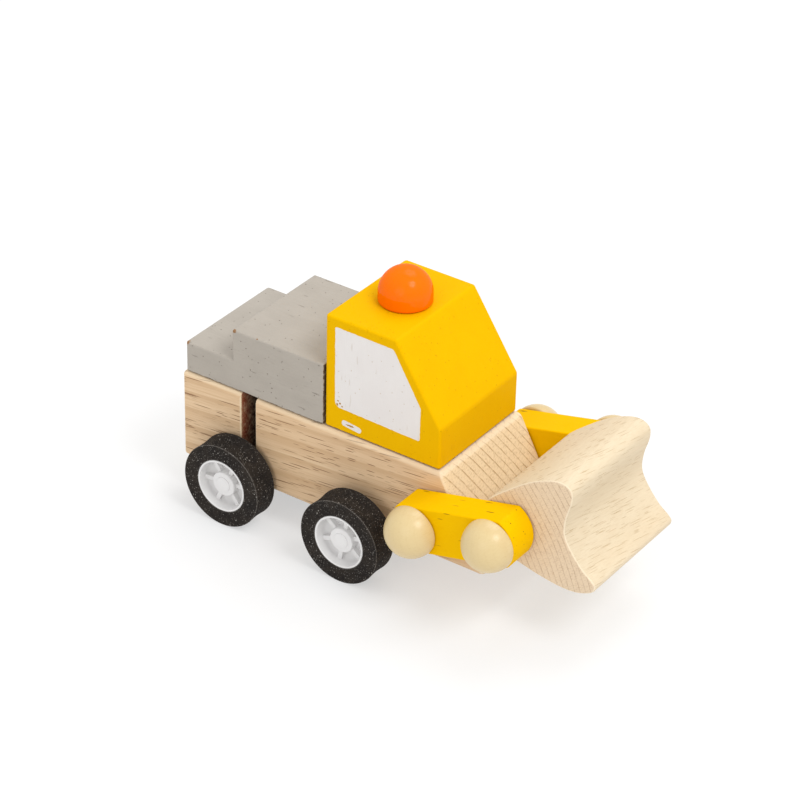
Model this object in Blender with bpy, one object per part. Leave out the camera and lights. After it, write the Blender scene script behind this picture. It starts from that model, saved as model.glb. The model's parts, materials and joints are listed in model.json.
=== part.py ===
"""Toy bulldozer: a wooden pull-back loader on four foam tyres, with lift arms and a tilting blade.

Metres, +Z up, +X forward, +Y to the toy's left. The origin is on the floor, under the centre of
the overall box. Lengths below are written in millimetres and scaled once by MM. Distances along X
are measured from the rear face of the chassis.
"""
import math

import bmesh
import bpy
from mathutils import Matrix, Vector

MM = 0.001
GAP = 0.3                  # clearance between glued or resting faces
REAR_FACE_X = -60.6        # chassis rear face, from the origin

# Chassis block
CHASSIS_W = 35.0
CHASSIS_BOTTOM = 9.5
CHASSIS_TOP = 33.9
CHASSIS_TOP_LENGTH = 77.4
CHASSIS_BOTTOM_LENGTH = 91.2
CHASSIS_ROUND = 1.5
CHASSIS_REAR_ROUND = 0.5    # the two upright edges at the rear

# Motor pocket, cut from below, and the side slots that the rear axle comes up through
POCKET_X = (12.3, 42.7)
POCKET_W = 21.8
POCKET_TOP = 27.2
SLOT_X = (17.95, 22.25)
SLOT_INNER_Y = 9.9
SLOT_FOOT_X = 16.4         # the slot's foot is wider, for the axle
SLOT_FOOT_TOP = 14.5

# Blocks glued on the chassis
BLOCK_BOTTOM = CHASSIS_TOP + GAP
ENGINE_W = 33.8
ENGINE_X = (0.4, 42.4)
ENGINE_STEP_X = 15.0
ENGINE_LOW_TOP = 42.4
ENGINE_HIGH_TOP = 51.05
ENGINE_ROUND = 0.45
CAB_W = 33.2
CAB_X = (43.1, 76.4)
CAB_ROOF_FRONT_X = 63.1
CAB_ROOF = 65.2
CAB_SILL = 45.2
CAB_ROUND = 0.65

# Turned pegs and the beacon
PEG_HEAD_R = 6.65
PEG_SHANK_R = 2.5
PEG_HOLE_R = 2.8
PEG_RIM = 0.33             # straight rim under the dome
PEG_DEPTH = 9.0
BEACON_R = 6.75
BEACON_X = 54.2
BEACON_RIM = 2.2

# Wheels
TYRE_R = 11.33
TYRE_W = 7.2
TYRE_ROUND = 0.3
TYRE_HOLLOW = 0.35         # how far the tread dips between its edges
TYRE_SEGMENTS = 32
RIM_R = 7.1
DISH_R = (6.6, 6.35)       # dish radius at its mouth and at its floor
SKIRT_R = (2.6, 5.85)      # hollow at the hub's back
HUB_FLOOR = (3.2, 4.1)     # heights run outwards from the wheel's inner face
HUB_BACK = -0.6
HUB_SEGMENTS = 24
BOSS_R = 3.1
BOSS_TOP = 6.1
BOSS_DISC_R = 1.9
BOSS_DISC_TOP = 6.35
RIB_COUNT = 6
RIB_HALF_W = 0.6
RIB_TOP = 5.2
RIB_TURN = {"rear": 125.0, "front": 140.0}
AXLE_R = 1.0
AXLE_BORE_R = 1.25
AXLE_BORE_END = 5.4
REAR_AXLE_X = 18.0
REAR_TRACK_Y = 26.0        # outer face of the rear wheels
FRONT_AXLE_X = 55.6
FRONT_TRACK_Y = 28.3
AXLE_Z = TYRE_R

# Front axle groove and the plate that closes it
GROOVE_W = 3.0
KEEPER_X = (49.6, 61.6)
KEEPER_W = 26.0
PLATE_T = 1.2

# Lift arms
ARM_T = 8.9
ARM_INNER_Y = CHASSIS_W / 2 + GAP
ARM_OUTER_Y = ARM_INNER_Y + ARM_T
ARM_H = 12.2
ARM_END_R = 8.0
ARM_OVERHANG = 6.3
ARM_ROUND = 0.4
ARM_REACH = 22.4           # between the two pivots
ARM_ANGLE = 13.2           # degrees above level
ARM_PIVOT = (76.1, 22.7)

# Blade; key points of its section about the blade pivot: heel, back, top nose, hollow front, lip
BLADE_W = 35.0
BLADE_ROUND = 0.45
BLADE_KEYS = [(-8.4, 0.0), (-6.9, 4.6), (-0.9, 10.0), (4.8, 14.1), (10.2, 16.5), (13.6, 16.7),
              (15.6, 15.2), (15.7, 12.2), (14.5, 7.6), (14.3, 3.3), (16.0, -0.3), (19.4, -4.5),
              (22.5, -7.0), (23.29, -8.4), (22.2, -10.1), (18.5, -11.6), (14.0, -11.9),
              (8.1, -11.1), (2.4, -9.8), (-3.5, -8.3), (-7.2, -4.8)]

# Motor: shafts in the XZ plane, gears of module GEAR_M
GEAR_M = 0.7
PINION_TEETH = 8
IDLER_TEETH = 16
DRUM_TEETH = 20
IDLER_DIRECTION = 55.0     # degrees, from the axle to the idler shaft
DRUM_DIRECTION = -5.0      # degrees, from the idler shaft to the drum shaft
PINION_Y = (-7.4, -3.9)
IDLER_WHEEL_Y = (-6.4, -4.4)
IDLER_PINION_Y = (-4.9, 0.8)
DRUM_WHEEL_Y = (-1.8, 0.4)
ARBOR_Y = (-0.5, 8.0)
CASE_WALL = 0.9
CASE_HALF_W = 10.4
CASE_REAR_X = 12.9
CASE_FRONT_X = 42.1
CASE_EAR_X = (7.6, 47.4)
CASE_TOP = 26.6
CASE_CORNER = 2.5          # chamfer at the top corners
CASE_FRONT_BOTTOM = 8.6
CASE_BELLY = 6.8           # the case bulges down round the pinion
CASE_BELLY_X = (14.6, 22.0)
CASE_BELLY_END_X = 24.6
STUB_R = 0.8
STUB_HOLE_R = 1.1
ARBOR_R = 1.7
SPRING_R = (2.3, 6.7)
SPRING_TURNS = 6
SPRING_T = 0.3
SPRING_Y = (1.2, 7.2)

# Screws
SCREW_HEAD_R = 1.9
SCREW_HEAD_H = 1.1
SCREW_R = 0.9
SCREW_HOLE_R = 1.2
SCREW_LENGTH = 7.0
MOTOR_SCREWS_X = (10.0, 45.0)
KEEPER_SCREWS_X = (51.8, 59.4)


def clear_scene():
    for ob in list(bpy.data.objects):
        bpy.data.objects.remove(ob, do_unlink=True)


def make_material(name, colour, roughness, metallic=0.0):
    material = bpy.data.materials.new(name)
    material.use_nodes = True
    shader = material.node_tree.nodes["Principled BSDF"]
    shader.inputs["Base Color"].default_value = (*colour, 1.0)
    shader.inputs["Roughness"].default_value = roughness
    shader.inputs["Metallic"].default_value = metallic
    material.diffuse_color = (*colour, 1.0)
    return material


def at_x(x):
    """World X in millimetres of a distance from the chassis rear face."""
    return REAR_FACE_X + x


def prism(bm, outline, y_low, y_high):
    """Extrude an XZ outline, given anticlockwise seen from -Y, from y_low to y_high."""
    low = [bm.verts.new((x * MM, y_low * MM, z * MM)) for x, z in outline]
    high = [bm.verts.new((x * MM, y_high * MM, z * MM)) for x, z in outline]
    count = len(outline)
    bm.faces.new(low)
    bm.faces.new(list(reversed(high)))
    for i in range(count):
        j = (i + 1) % count
        bm.faces.new((low[j], low[i], high[i], high[j]))


def box(bm, x_range, y_range, z_range):
    outline = [(x_range[0], z_range[0]), (x_range[1], z_range[0]),
               (x_range[1], z_range[1]), (x_range[0], z_range[1])]
    prism(bm, outline, y_range[0], y_range[1])


def turned(bm, profile, segments, axis="Y", centre=(0.0, 0.0, 0.0), closed=False):
    """Turn (radius, height) pairs about an axis; a closed profile makes a ring."""
    rings = []
    for radius, height in profile:
        if radius < 1e-6:
            points = [(0.0, 0.0)]
        else:
            angles = [2 * math.pi * (i + 0.5) / segments - math.pi / 2 for i in range(segments)]
            if axis == "Y":
                angles = [2 * math.pi * i / segments - math.pi / 2 for i in range(segments)]
            points = [(radius * math.cos(a), radius * math.sin(a)) for a in angles]
        ring = []
        for u, v in points:
            place = (u, height, v) if axis == "Y" else (u, v, height)
            ring.append(bm.verts.new([(p + c) * MM for p, c in zip(place, centre)]))
        rings.append(ring)
    pairs = list(zip(rings, rings[1:]))
    if closed:
        pairs.append((rings[-1], rings[0]))
    for lower, upper in pairs:
        for i in range(segments):
            j = (i + 1) % segments
            if len(lower) == 1 and len(upper) > 1:
                bm.faces.new((lower[0], upper[j], upper[i]))
            elif len(upper) == 1 and len(lower) > 1:
                bm.faces.new((upper[0], lower[i], lower[j]))
            elif len(lower) > 1:
                bm.faces.new((lower[i], lower[j], upper[j], upper[i]))


def make_object(name, bm, material=None, location=(0.0, 0.0, 0.0), smooth=30.0):
    """Turn a bmesh into an object at a place given in millimetres."""
    bmesh.ops.recalc_face_normals(bm, faces=bm.faces[:])
    mesh = bpy.data.meshes.new(name)
    bm.to_mesh(mesh)
    bm.free()
    if smooth:
        mesh.shade_smooth()
        mesh.set_sharp_from_angle(angle=math.radians(smooth))
    ob = bpy.data.objects.new(name, mesh)
    ob.location = Vector(location) * MM
    bpy.context.scene.collection.objects.link(ob)
    if material:
        mesh.materials.append(material)
    return ob


def make_cutter(name, bm, location=(0.0, 0.0, 0.0)):
    ob = make_object(name, bm, None, location, smooth=0)
    ob.hide_render = True
    ob.display_type = "WIRE"
    return ob


def round_edges(ob, width, segments=2, angle=30.0):
    bevel = ob.modifiers.new("Round edges", "BEVEL")
    bevel.width = width * MM
    bevel.segments = segments
    bevel.limit_method = "ANGLE"
    bevel.angle_limit = math.radians(angle)


def combine(ob, tool, operation):
    boolean = ob.modifiers.new(operation.title() + " " + tool.name, "BOOLEAN")
    boolean.operation = operation
    boolean.solver = "EXACT"
    boolean.object = tool


def cut(ob, cutter):
    combine(ob, cutter, "DIFFERENCE")


def parent_keep(child, parent):
    """Parent without moving the child."""
    bpy.context.view_layer.update()
    child.parent = parent
    child.matrix_parent_inverse = parent.matrix_world.inverted()


def make_pivot(name, x, z):
    empty = bpy.data.objects.new(name, None)
    empty.empty_display_size = 0.01
    empty.location = Vector((at_x(x), 0.0, z)) * MM
    bpy.context.scene.collection.objects.link(empty)
    return empty


def polar(radius, degrees):
    return (radius * math.cos(math.radians(degrees)), radius * math.sin(math.radians(degrees)))


def arm_outline():
    """Bar with flat top and bottom and bowed ends; the rear pivot is at (0, 0)."""
    half = ARM_H / 2
    bow = math.degrees(math.asin(half / ARM_END_R))
    steps = 8
    rear_centre = ARM_END_R - ARM_OVERHANG
    front_centre = ARM_REACH + ARM_OVERHANG - ARM_END_R
    points = []
    for i in range(steps + 1):
        dx, dz = polar(ARM_END_R, -bow + 2 * bow * i / steps)
        points.append((front_centre + dx, dz))
    for i in range(steps + 1):
        dx, dz = polar(ARM_END_R, 180 - bow + 2 * bow * i / steps)
        points.append((rear_centre + dx, dz))
    return points


def smooth_loop(keys, steps):
    """Closed Catmull-Rom curve through the key points."""
    count = len(keys)
    points = []
    for i in range(count):
        p0, p1, p2, p3 = (Vector(keys[(i + k - 1) % count]) for k in range(4))
        for step in range(steps):
            t = step / steps
            point = 0.5 * ((2 * p1) + (p2 - p0) * t + (2 * p0 - 5 * p1 + 4 * p2 - p3) * t * t
                           + (3 * p1 - p0 - 3 * p2 + p3) * t * t * t)
            points.append((point.x, point.y))
    return points


def gear_outline(teeth, phase=0.0):
    """Straight-flanked teeth of module GEAR_M, thinned for backlash; phase in tooth pitches."""
    pitch = 2 * math.pi / teeth
    pitch_r = GEAR_M * teeth / 2
    tip_r = pitch_r + 0.8 * GEAR_M
    root_r = pitch_r - 1.05 * GEAR_M
    corners = ((-0.5, root_r), (-0.27, root_r), (-0.10, tip_r), (0.10, tip_r), (0.27, root_r))
    points = []
    for tooth in range(teeth):
        for share, radius in corners:
            angle = (tooth + phase + share) * pitch
            points.append((radius * math.cos(angle), radius * math.sin(angle)))
    return points


def spiral_strip():
    """Outline of the coiled mainspring, from its inner end outwards and back."""
    steps = SPRING_TURNS * 14
    inner, outer = [], []
    for i in range(steps + 1):
        angle = 2 * math.pi * SPRING_TURNS * i / steps
        radius = SPRING_R[0] + (SPRING_R[1] - SPRING_R[0]) * i / steps
        inner.append((radius * math.cos(angle), radius * math.sin(angle)))
        outer.append(((radius + SPRING_T) * math.cos(angle), (radius + SPRING_T) * math.sin(angle)))
    return inner, outer


clear_scene()

BEECH = make_material("beech", (0.70, 0.50, 0.30), 0.60)
PALE_WOOD = make_material("pale_wood", (0.86, 0.70, 0.48), 0.60)
PEG_WOOD = make_material("peg_wood", (0.83, 0.65, 0.40), 0.45)
GREY_PAINT = make_material("grey_paint", (0.43, 0.40, 0.36), 0.60)
YELLOW_PAINT = make_material("yellow_paint", (0.90, 0.52, 0.0), 0.50)
ORANGE_LACQUER = make_material("orange_lacquer", (1.0, 0.19, 0.0), 0.25)
WHITE_PLASTIC = make_material("white_plastic", (0.80, 0.79, 0.78), 0.40)
BLACK_FOAM = make_material("black_foam", (0.025, 0.022, 0.020), 0.90)
DARK_PLASTIC = make_material("dark_plastic", (0.06, 0.06, 0.065), 0.45)
GEAR_PLASTIC = make_material("gear_plastic", (0.75, 0.74, 0.70), 0.45)
STEEL = make_material("steel", (0.55, 0.55, 0.57), 0.30, 1.0)

# ---------------------------------------------------------------- chassis
bm = bmesh.new()
prism(bm, [(at_x(0), CHASSIS_BOTTOM), (at_x(CHASSIS_BOTTOM_LENGTH), CHASSIS_BOTTOM),
           (at_x(CHASSIS_TOP_LENGTH), CHASSIS_TOP), (at_x(0), CHASSIS_TOP)],
      -CHASSIS_W / 2, CHASSIS_W / 2)
chassis = make_object("chassis_block", bm, BEECH)
round_edges(chassis, CHASSIS_ROUND, 3)
chassis.modifiers["Round edges"].limit_method = "WEIGHT"
weights = chassis.data.attributes.new("bevel_weight_edge", "FLOAT", "EDGE")
for edge in chassis.data.edges:
    a, b = (chassis.data.vertices[i].co for i in edge.vertices)
    upright = abs(a.x - b.x) < MM / 10 and abs(a.y - b.y) < MM / 10
    weights.data[edge.index].value = CHASSIS_REAR_ROUND / CHASSIS_ROUND if upright else 1.0

UNDER = CHASSIS_BOTTOM - 2   # where the cuts from below start
bm = bmesh.new()
box(bm, [at_x(x) for x in POCKET_X], (-POCKET_W / 2, POCKET_W / 2), (UNDER, POCKET_TOP))
cut(chassis, make_cutter("cutter_pocket", bm))

# Side slots, front axle groove, screw holes and peg holes, all apart from each other
bm = bmesh.new()
for side in (-1, 1):
    low, high = sorted((side * SLOT_INNER_Y, side * (CHASSIS_W / 2 + 1)))
    prism(bm, [(at_x(SLOT_FOOT_X), UNDER - 1), (at_x(SLOT_X[1]), UNDER - 1),
               (at_x(SLOT_X[1]), CHASSIS_TOP + 1), (at_x(SLOT_X[0]), CHASSIS_TOP + 1),
               (at_x(SLOT_X[0]), SLOT_FOOT_TOP), (at_x(SLOT_FOOT_X), SLOT_FOOT_TOP)], low, high)
box(bm, (at_x(FRONT_AXLE_X) - GROOVE_W / 2, at_x(FRONT_AXLE_X) + GROOVE_W / 2),
    (-CHASSIS_W / 2 - 1, CHASSIS_W / 2 + 1), (UNDER, AXLE_Z + AXLE_R + GAP))
for x in MOTOR_SCREWS_X + KEEPER_SCREWS_X:
    top = CHASSIS_BOTTOM + SCREW_LENGTH
    turned(bm, [(0, UNDER), (SCREW_HOLE_R, UNDER), (SCREW_HOLE_R, top), (0, top + 1)], 12,
           axis="Z", centre=(at_x(x), 0, 0))
for side in (-1, 1):
    mouth = side * (CHASSIS_W / 2 + 1)
    end = side * (CHASSIS_W / 2 - PEG_DEPTH - GAP)
    low, high = sorted((mouth, end))
    turned(bm, [(0, low), (PEG_HOLE_R, low), (PEG_HOLE_R, high), (0, high)], 20,
           centre=(at_x(ARM_PIVOT[0]), 0, ARM_PIVOT[1]))
cut(chassis, make_cutter("cutter_chassis", bm))

# ---------------------------------------------------------------- engine block and cab
bm = bmesh.new()
prism(bm, [(at_x(ENGINE_X[0]), BLOCK_BOTTOM), (at_x(ENGINE_X[1]), BLOCK_BOTTOM),
           (at_x(ENGINE_X[1]), ENGINE_HIGH_TOP), (at_x(ENGINE_STEP_X), ENGINE_HIGH_TOP),
           (at_x(ENGINE_STEP_X), ENGINE_LOW_TOP), (at_x(ENGINE_X[0]), ENGINE_LOW_TOP)],
      -ENGINE_W / 2, ENGINE_W / 2)
engine = make_object("engine_block", bm, GREY_PAINT)
round_edges(engine, ENGINE_ROUND, 2)

bm = bmesh.new()
prism(bm, [(at_x(CAB_X[0]), BLOCK_BOTTOM), (at_x(CAB_X[1]), BLOCK_BOTTOM),
           (at_x(CAB_X[1]), CAB_SILL), (at_x(CAB_ROOF_FRONT_X), CAB_ROOF),
           (at_x(CAB_X[0]), CAB_ROOF)], -CAB_W / 2, CAB_W / 2)
cab = make_object("cab_block", bm, YELLOW_PAINT)
round_edges(cab, CAB_ROUND, 2)
bm = bmesh.new()
turned(bm, [(0, CAB_ROOF - PEG_DEPTH - GAP), (PEG_HOLE_R, CAB_ROOF - PEG_DEPTH - GAP),
            (PEG_HOLE_R, CAB_ROOF + 1), (0, CAB_ROOF + 1)], 20, axis="Z",
       centre=(at_x(BEACON_X), 0, 0))
cut(cab, make_cutter("cutter_beacon_hole", bm))


def peg_profile(head_r, rim, shank_length, dome_steps=6):
    """Profile of a domed peg: shank tip below, seat at height 0, dome above."""
    profile = [(0, -shank_length), (PEG_SHANK_R - 0.4, -shank_length),
               (PEG_SHANK_R, -shank_length + 0.5), (PEG_SHANK_R, 0), (head_r, 0)]
    for i in range(dome_steps):
        angle = math.pi / 2 * i / dome_steps
        profile.append((head_r * math.cos(angle), rim + head_r * math.sin(angle)))
    profile.append((0, rim + head_r))
    return profile


bm = bmesh.new()
turned(bm, peg_profile(BEACON_R, BEACON_RIM, PEG_DEPTH + GAP), 24, axis="Z")
make_object("beacon", bm, ORANGE_LACQUER,
            location=(at_x(BEACON_X), 0, CAB_ROOF + GAP), smooth=40)

# ---------------------------------------------------------------- lift arms
arm_pivot = make_pivot("lift_arm_pivot", *ARM_PIVOT)
reach_x, reach_z = polar(ARM_REACH, ARM_ANGLE)
BLADE_PIVOT = (ARM_PIVOT[0] + reach_x, ARM_PIVOT[1] + reach_z)
blade_pivot = make_pivot("blade_pivot", *BLADE_PIVOT)
parent_keep(blade_pivot, arm_pivot)

bm = bmesh.new()
for x in (0, ARM_REACH):
    turned(bm, [(0, -ARM_T), (PEG_SHANK_R + 0.2, -ARM_T), (PEG_SHANK_R + 0.2, ARM_T), (0, ARM_T)],
           20, centre=(x, 0, 0))
arm_hole_mesh = make_cutter("cutter_arm_holes_right", bm).data
for side, label in ((-1, "right"), (1, "left")):
    middle = side * (ARM_INNER_Y + ARM_T / 2)
    bm = bmesh.new()
    prism(bm, arm_outline(), -ARM_T / 2, ARM_T / 2)
    arm = make_object("lift_arm_" + label, bm, YELLOW_PAINT,
                      location=(at_x(ARM_PIVOT[0]), middle, ARM_PIVOT[1]))
    arm.rotation_euler = (0.0, -math.radians(ARM_ANGLE), 0.0)
    round_edges(arm, ARM_ROUND, 2)
    cutter_name = "cutter_arm_holes_" + label
    cutter = bpy.data.objects.get(cutter_name)
    if cutter is None:
        cutter = bpy.data.objects.new(cutter_name, arm_hole_mesh)
        cutter.hide_render = True
        cutter.display_type = "WIRE"
        bpy.context.scene.collection.objects.link(cutter)
    cutter.location = arm.location
    cutter.rotation_euler = arm.rotation_euler
    cut(arm, cutter)
    parent_keep(arm, arm_pivot)

# Pegs: the rear pair is glued in the chassis, the front pair in the blade
bm = bmesh.new()
shank = ARM_OUTER_Y + GAP - CHASSIS_W / 2 + PEG_DEPTH
turned(bm, peg_profile(PEG_HEAD_R, PEG_RIM, shank), 20)
peg_source = make_object("arm_peg_left", bm, PEG_WOOD, smooth=40)
peg_mesh = peg_source.data
for name, (x, z), side in (("arm_peg_left", ARM_PIVOT, 1), ("arm_peg_right", ARM_PIVOT, -1),
                           ("blade_peg_left", BLADE_PIVOT, 1),
                           ("blade_peg_right", BLADE_PIVOT, -1)):
    peg = bpy.data.objects.get(name)
    if peg is None:
        peg = bpy.data.objects.new(name, peg_mesh)
        bpy.context.scene.collection.objects.link(peg)
    peg.location = Vector((at_x(x), side * (ARM_OUTER_Y + GAP), z)) * MM
    if side < 0:
        peg.rotation_euler = (0.0, 0.0, math.pi)
    if name.startswith("blade"):
        parent_keep(peg, blade_pivot)

# ---------------------------------------------------------------- blade
bm = bmesh.new()
prism(bm, smooth_loop(BLADE_KEYS, 3), -BLADE_W / 2, BLADE_W / 2)
blade = make_object("blade", bm, PALE_WOOD, location=(at_x(BLADE_PIVOT[0]), 0, BLADE_PIVOT[1]),
                    smooth=40)
round_edges(blade, BLADE_ROUND, 1, angle=50)
bm = bmesh.new()
for side in (-1, 1):
    low, high = sorted((side * (BLADE_W / 2 + 1), side * (BLADE_W / 2 - PEG_DEPTH - GAP)))
    turned(bm, [(0, low), (PEG_HOLE_R, low), (PEG_HOLE_R, high), (0, high)], 20)
blade_cutter = make_cutter("cutter_blade_holes", bm,
                           location=(at_x(BLADE_PIVOT[0]), 0, BLADE_PIVOT[1]))
cut(blade, blade_cutter)
parent_keep(blade, blade_pivot)
parent_keep(blade_cutter, blade_pivot)

# ---------------------------------------------------------------- wheels and axles
def hub_bmesh():
    """White dished hub with a hollow back, a boss and a raised disc on the boss."""
    bm = bmesh.new()
    turned(bm, [(0, AXLE_BORE_END), (AXLE_BORE_R, AXLE_BORE_END), (AXLE_BORE_R, HUB_BACK),
                (SKIRT_R[0], HUB_BACK), (SKIRT_R[0], HUB_FLOOR[0]), (SKIRT_R[1], HUB_FLOOR[0]),
                (SKIRT_R[1], 0), (RIM_R, 0), (RIM_R, TYRE_W - 0.2), (RIM_R - 0.2, TYRE_W),
                (DISH_R[0], TYRE_W), (DISH_R[1], HUB_FLOOR[1]), (BOSS_R, HUB_FLOOR[1]),
                (BOSS_R, BOSS_TOP), (BOSS_DISC_R, BOSS_TOP), (BOSS_DISC_R, BOSS_DISC_TOP),
                (0, BOSS_DISC_TOP)], HUB_SEGMENTS)
    return bm


def rib_bmesh(first):
    """Ribs from inside the boss to inside the dish wall; first is in degrees."""
    bm = bmesh.new()
    reach = (BOSS_R - 0.4, (DISH_R[1] + RIM_R) / 2)
    for rib in range(RIB_COUNT):
        angle = first + 360 / RIB_COUNT * rib
        along = Vector(polar(1, angle))
        across = Vector(polar(RIB_HALF_W, angle + 90))
        outline = [along * reach[0] - across, along * reach[1] - across,
                   along * reach[1] + across, along * reach[0] + across]
        prism(bm, outline, HUB_FLOOR[1] - 0.3, RIB_TOP)
    return bm


def tyre_profile():
    """Foam ring with small edge rounds and a slightly hollow tread."""
    bore = RIM_R + GAP
    edge_r = TYRE_R - TYRE_ROUND
    points = [(bore, 0.0), (bore, TYRE_W), (edge_r, TYRE_W), (TYRE_R, TYRE_W - TYRE_ROUND)]
    steps = 6
    for i in range(1, steps):
        share = i / steps
        dip = TYRE_HOLLOW * math.sin(math.pi * share)
        height = TYRE_W - TYRE_ROUND - share * (TYRE_W - 2 * TYRE_ROUND)
        points.append((TYRE_R - dip, height))
    points += [(TYRE_R, TYRE_ROUND), (edge_r, 0.0)]
    return points


tyre_mesh = None
for end, axle_x, track in (("rear", REAR_AXLE_X, REAR_TRACK_Y),
                           ("front", FRONT_AXLE_X, FRONT_TRACK_Y)):
    axle_pivot = make_pivot(end + "_axle_pivot", axle_x, AXLE_Z)
    tip = track - TYRE_W + AXLE_BORE_END - GAP
    bm = bmesh.new()
    turned(bm, [(0, -tip), (AXLE_R - 0.2, -tip), (AXLE_R, -tip + 0.3), (AXLE_R, tip - 0.3),
                (AXLE_R - 0.2, tip), (0, tip)], 16)
    axle = make_object(end + "_axle", bm, STEEL, location=(at_x(axle_x), 0, AXLE_Z))
    parent_keep(axle, axle_pivot)
    for side, label in ((-1, "right"), (1, "left")):
        hub = make_object("_".join((end, "hub", label)), hub_bmesh(), WHITE_PLASTIC)
        # Turned half round about Z, the right-hand hub's angles run the other way
        first = RIB_TURN[end] if side > 0 else 180 - RIB_TURN[end]
        ribs = make_cutter("_".join(("ribs", end, label)), rib_bmesh(first))
        if tyre_mesh is None:
            bm = bmesh.new()
            turned(bm, tyre_profile(), TYRE_SEGMENTS, closed=True)
            tyre = make_object("_".join((end, "tyre", label)), bm, BLACK_FOAM)
            tyre_mesh = tyre.data
        else:
            tyre = bpy.data.objects.new("_".join((end, "tyre", label)), tyre_mesh)
            bpy.context.scene.collection.objects.link(tyre)
        for ob in (hub, tyre, ribs):
            ob.location = Vector((at_x(axle_x), side * (track - TYRE_W), AXLE_Z)) * MM
            ob.rotation_euler = (0.0, 0.0, math.pi if side < 0 else 0.0)
            parent_keep(ob, axle_pivot)
        combine(hub, ribs, "UNION")

# ---------------------------------------------------------------- front axle keeper
PLATE_TOP = CHASSIS_BOTTOM - GAP
PLATE_BOTTOM = PLATE_TOP - PLATE_T
bm = bmesh.new()
rib = (at_x(FRONT_AXLE_X) - GROOVE_W / 2 + GAP, at_x(FRONT_AXLE_X) + GROOVE_W / 2 - GAP)
prism(bm, [(at_x(KEEPER_X[0]), PLATE_BOTTOM), (at_x(KEEPER_X[1]), PLATE_BOTTOM),
           (at_x(KEEPER_X[1]), PLATE_TOP), (rib[1], PLATE_TOP), (rib[1], AXLE_Z - AXLE_R - GAP),
           (rib[0], AXLE_Z - AXLE_R - GAP), (rib[0], PLATE_TOP), (at_x(KEEPER_X[0]), PLATE_TOP)],
      -KEEPER_W / 2, KEEPER_W / 2)
keeper = make_object("axle_keeper", bm, DARK_PLASTIC)
bm = bmesh.new()
for x in KEEPER_SCREWS_X:
    turned(bm, [(0, PLATE_BOTTOM - 1), (SCREW_HOLE_R, PLATE_BOTTOM - 1),
                (SCREW_HOLE_R, PLATE_TOP + 1), (0, PLATE_TOP + 1)], 12, axis="Z",
           centre=(at_x(x), 0, 0))
cut(keeper, make_cutter("cutter_keeper_holes", bm))

HEAD_TOP = PLATE_BOTTOM - GAP
SCREW_PROFILE = [(0, -SCREW_HEAD_H), (SCREW_HEAD_R - 0.5, -SCREW_HEAD_H),
                 (SCREW_HEAD_R, -0.5), (SCREW_HEAD_R, 0), (SCREW_R, 0),
                 (SCREW_R, SCREW_LENGTH), (0, SCREW_LENGTH + 0.8)]
bm = bmesh.new()
turned(bm, SCREW_PROFILE, 12, axis="Z")
screw_mesh = make_object("motor_screw_rear", bm, STEEL).data
for name, x in (("motor_screw_rear", MOTOR_SCREWS_X[0]), ("motor_screw_front", MOTOR_SCREWS_X[1]),
                ("keeper_screw_rear", KEEPER_SCREWS_X[0]),
                ("keeper_screw_front", KEEPER_SCREWS_X[1])):
    screw = bpy.data.objects.get(name)
    if screw is None:
        screw = bpy.data.objects.new(name, screw_mesh)
        bpy.context.scene.collection.objects.link(screw)
    screw.location = Vector((at_x(x), 0, HEAD_TOP)) * MM

# ---------------------------------------------------------------- pull-back motor
AXLE = (at_x(REAR_AXLE_X), AXLE_Z)
first = polar(GEAR_M * (PINION_TEETH + IDLER_TEETH) / 2, IDLER_DIRECTION)
IDLER = (AXLE[0] + first[0], AXLE[1] + first[1])
second = polar(GEAR_M * (PINION_TEETH + DRUM_TEETH) / 2, DRUM_DIRECTION)
DRUM = (IDLER[0] + second[0], IDLER[1] + second[1])

CASE_X = (at_x(CASE_REAR_X), at_x(CASE_FRONT_X))
BELLY_X = [at_x(x) for x in CASE_BELLY_X]
BELLY_END_X = at_x(CASE_BELLY_END_X)
SHELL_OUTLINE = [(BELLY_X[0], CASE_BELLY), (BELLY_X[1], CASE_BELLY),
                 (BELLY_END_X, CASE_FRONT_BOTTOM), (CASE_X[1], CASE_FRONT_BOTTOM),
                 (CASE_X[1], CASE_TOP - CASE_CORNER), (CASE_X[1] - CASE_CORNER, CASE_TOP),
                 (CASE_X[0] + CASE_CORNER, CASE_TOP), (CASE_X[0], CASE_TOP - CASE_CORNER),
                 (CASE_X[0], CASE_FRONT_BOTTOM)]
WITH_EARS = [(BELLY_X[0], CASE_BELLY), (BELLY_X[1], CASE_BELLY),
             (BELLY_END_X - 0.6, PLATE_BOTTOM), (at_x(CASE_EAR_X[1]), PLATE_BOTTOM),
             (at_x(CASE_EAR_X[1]), PLATE_TOP), (CASE_X[1], PLATE_TOP),
             (CASE_X[1], CASE_TOP - CASE_CORNER), (CASE_X[1] - CASE_CORNER, CASE_TOP),
             (CASE_X[0] + CASE_CORNER, CASE_TOP), (CASE_X[0], CASE_TOP - CASE_CORNER),
             (CASE_X[0], PLATE_TOP), (at_x(CASE_EAR_X[0]), PLATE_TOP),
             (at_x(CASE_EAR_X[0]), PLATE_BOTTOM), (CASE_X[0] + 0.6, PLATE_BOTTOM)]
INNER_OUTLINE = [(BELLY_X[0] + 0.5, CASE_BELLY + CASE_WALL),
                 (BELLY_X[1] - 0.3, CASE_BELLY + CASE_WALL),
                 (BELLY_END_X - 0.4, CASE_FRONT_BOTTOM + CASE_WALL),
                 (CASE_X[1] - CASE_WALL, CASE_FRONT_BOTTOM + CASE_WALL),
                 (CASE_X[1] - CASE_WALL, CASE_TOP - CASE_CORNER - 0.4),
                 (CASE_X[1] - CASE_CORNER - 0.4, CASE_TOP - CASE_WALL),
                 (CASE_X[0] + CASE_CORNER + 0.4, CASE_TOP - CASE_WALL),
                 (CASE_X[0] + CASE_WALL, CASE_TOP - CASE_CORNER - 0.4),
                 (CASE_X[0] + CASE_WALL, CASE_FRONT_BOTTOM + CASE_WALL)]
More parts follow.
